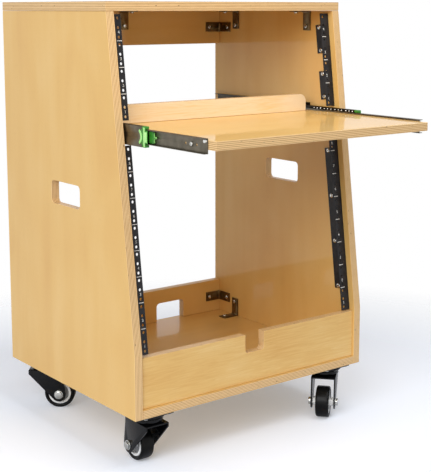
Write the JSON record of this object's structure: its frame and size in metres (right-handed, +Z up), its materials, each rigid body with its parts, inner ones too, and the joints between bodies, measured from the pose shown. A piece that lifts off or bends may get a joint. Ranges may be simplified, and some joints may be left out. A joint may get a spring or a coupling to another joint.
{
  "type": "slanted studio rack",
  "caption": "Plywood rack cabinet with a slanted front, punched rack rails, a pull-out shelf on ball bearing slides and swivel casters.",
  "frame": {"origin": "centre of the whole part's box in plan, shelf pulled out, on the floor", "axes": "+Z up, the front and the pull-out shelf face -Y, +X to the right seen from the front"},
  "size_m": [0.526, 0.631, 0.8],
  "materials": {
    "birch_plywood": "clear gloss lacquer on birch plywood",
    "rail_black_coat": "black powder coat",
    "slide_zinc": "zinc plated",
    "cage_bright_steel": "bright",
    "green_plastic": "moulded",
    "bracket_bronze_coat": "dark bronze coat",
    "caster_black_coat": "black gloss coat",
    "tyre_rubber": "smooth rubber",
    "rim_grey_nylon": "moulded grey nylon",
    "axle_zinc": "zinc plated"
  },
  "bodies": {
    "cabinet": {"side_panel_left": "birch_plywood", "side_panel_right": "birch_plywood", "top_panel": "birch_plywood", "bottom_panel": "birch_plywood", "front_fascia": "birch_plywood", "rear_board_upper": "birch_plywood", "rear_board_lower": "birch_plywood", "rack_rail_lower_left": "rail_black_coat", "rack_rail_lower_right": "rail_black_coat", "rack_rail_upper_left": "rail_black_coat", "rack_rail_upper_right": "rail_black_coat", "slide_outer_left": "slide_zinc", "slide_outer_right": "slide_zinc", "bracket_rear_board_top": "bracket_bronze_coat", "bracket_top_front_left": "bracket_bronze_coat", "bracket_top_front_right": "bracket_bronze_coat", "bracket_top_rear_left": "bracket_bronze_coat", "bracket_top_rear_right": "bracket_bronze_coat", "bracket_base_left": "bracket_bronze_coat", "bracket_base_right": "bracket_bronze_coat", "bracket_rear_upper_left": "bracket_bronze_coat", "bracket_rear_upper_right": "bracket_bronze_coat", "bracket_rear_lower_left": "bracket_bronze_coat", "bracket_rear_lower_right": "bracket_bronze_coat", "caster_front_left_plate": "caster_black_coat", "caster_front_right_plate": "caster_black_coat", "caster_rear_left_plate": "caster_black_coat", "caster_rear_right_plate": "caster_black_coat"},
    "shelf": {"shelf_board": "birch_plywood", "shelf_stop_board": "birch_plywood", "slide_inner_left": "slide_zinc", "slide_inner_right": "slide_zinc"},
    "slide_middle_left": {"slide_middle_left": "slide_zinc", "slide_bumper_left": "green_plastic"},
    "ball_cage_outer_left": {"ball_cage_outer_left": "cage_bright_steel"},
    "ball_cage_inner_left": {"ball_cage_inner_left": "cage_bright_steel"},
    "release_lever_left": {"release_lever_left": "green_plastic"},
    "slide_middle_right": {"slide_middle_right": "slide_zinc", "slide_bumper_right": "green_plastic"},
    "ball_cage_outer_right": {"ball_cage_outer_right": "cage_bright_steel"},
    "ball_cage_inner_right": {"ball_cage_inner_right": "cage_bright_steel"},
    "release_lever_right": {"release_lever_right": "green_plastic"},
    "caster_front_left_swivel": {"caster_front_left_fork": "caster_black_coat", "caster_front_left_axle": "axle_zinc"},
    "caster_front_left_wheel": {"caster_front_left_tyre": "tyre_rubber", "caster_front_left_rim": "rim_grey_nylon"},
    "caster_front_right_swivel": {"caster_front_right_fork": "caster_black_coat", "caster_front_right_axle": "axle_zinc"},
    "caster_front_right_wheel": {"caster_front_right_tyre": "tyre_rubber", "caster_front_right_rim": "rim_grey_nylon"},
    "caster_rear_left_swivel": {"caster_rear_left_fork": "caster_black_coat", "caster_rear_left_axle": "axle_zinc"},
    "caster_rear_left_wheel": {"caster_rear_left_tyre": "tyre_rubber", "caster_rear_left_rim": "rim_grey_nylon"},
    "caster_rear_right_swivel": {"caster_rear_right_fork": "caster_black_coat", "caster_rear_right_axle": "axle_zinc"},
    "caster_rear_right_wheel": {"caster_rear_right_tyre": "tyre_rubber", "caster_rear_right_rim": "rim_grey_nylon"}
  },
  "joints": [
    {"name": "shelf_slide", "type": "slide", "parent": "cabinet", "child": "shelf", "axis": [0, 1, 0], "range_m": [0, 0.3]},
    {"name": "middle_slide_left", "type": "slide", "parent": "cabinet", "child": "slide_middle_left", "axis": [0, 1, 0], "range_m": [0, 0.15]},
    {"name": "ball_cage_outer_slide_left", "type": "slide", "parent": "cabinet", "child": "ball_cage_outer_left", "axis": [0, 1, 0], "range_m": [0, 0.075]},
    {"name": "ball_cage_inner_slide_left", "type": "slide", "parent": "cabinet", "child": "ball_cage_inner_left", "axis": [0, 1, 0], "range_m": [0, 0.225]},
    {"name": "release_lever_turn_left", "type": "hinge", "parent": "shelf", "child": "release_lever_left", "pos_m": [-0.237, -0.14875, 0.58173], "axis": [1, 0, 0], "range_deg": [0, 8], "stiffness_Nm_per_rad": 0.05},
    {"name": "middle_slide_right", "type": "slide", "parent": "cabinet", "child": "slide_middle_right", "axis": [0, 1, 0], "range_m": [0, 0.15]},
    {"name": "ball_cage_outer_slide_right", "type": "slide", "parent": "cabinet", "child": "ball_cage_outer_right", "axis": [0, 1, 0], "range_m": [0, 0.075]},
    {"name": "ball_cage_inner_slide_right", "type": "slide", "parent": "cabinet", "child": "ball_cage_inner_right", "axis": [0, 1, 0], "range_m": [0, 0.225]},
    {"name": "release_lever_turn_right", "type": "hinge", "parent": "shelf", "child": "release_lever_right", "pos_m": [0.237, -0.14875, 0.58173], "axis": [-1, 0, 0], "range_deg": [0, 8], "stiffness_Nm_per_rad": 0.05},
    {"name": "caster_front_left_turn", "type": "hinge", "parent": "cabinet", "child": "caster_front_left_swivel", "pos_m": [-0.2105, -0.0885, 0.08], "axis": [0, 0, 1], "continuous": true},
    {"name": "caster_front_left_roll", "type": "hinge", "parent": "caster_front_left_swivel", "child": "caster_front_left_wheel", "pos_m": [-0.21001, -0.0605, 0.03], "axis": [-0.9998, 0.0175, 0], "continuous": true},
    {"name": "caster_front_right_turn", "type": "hinge", "parent": "cabinet", "child": "caster_front_right_swivel", "pos_m": [0.2105, -0.0885, 0.08], "axis": [0, 0, 1], "continuous": true},
    {"name": "caster_front_right_roll", "type": "hinge", "parent": "caster_front_right_swivel", "child": "caster_front_right_wheel", "pos_m": [0.18937, -0.10687, 0.03], "axis": [0.6561, -0.7547, 0], "continuous": true},
    {"name": "caster_rear_left_turn", "type": "hinge", "parent": "cabinet", "child": "caster_rear_left_swivel", "pos_m": [-0.2105, 0.2745, 0.08], "axis": [0, 0, 1], "continuous": true},
    {"name": "caster_rear_left_roll", "type": "hinge", "parent": "caster_rear_left_swivel", "child": "caster_rear_left_wheel", "pos_m": [-0.18874, 0.25688, 0.03], "axis": [0.6293, 0.7771, 0], "continuous": true},
    {"name": "caster_rear_right_turn", "type": "hinge", "parent": "cabinet", "child": "caster_rear_right_swivel", "pos_m": [0.2105, 0.2745, 0.08], "axis": [0, 0, 1], "continuous": true},
    {"name": "caster_rear_right_roll", "type": "hinge", "parent": "caster_rear_right_swivel", "child": "caster_rear_right_wheel", "pos_m": [0.21775, 0.24745, 0.03], "axis": [0.9659, 0.2588, 0], "continuous": true}
  ],
  "couplings": [
    {"joint": "middle_slide_left", "follows": "shelf_slide", "ratio": 0.5},
    {"joint": "ball_cage_outer_slide_left", "follows": "shelf_slide", "ratio": 0.25},
    {"joint": "ball_cage_inner_slide_left", "follows": "shelf_slide", "ratio": 0.75},
    {"joint": "middle_slide_right", "follows": "shelf_slide", "ratio": 0.5},
    {"joint": "ball_cage_outer_slide_right", "follows": "shelf_slide", "ratio": 0.25},
    {"joint": "ball_cage_inner_slide_right", "follows": "shelf_slide", "ratio": 0.75}
  ]
}
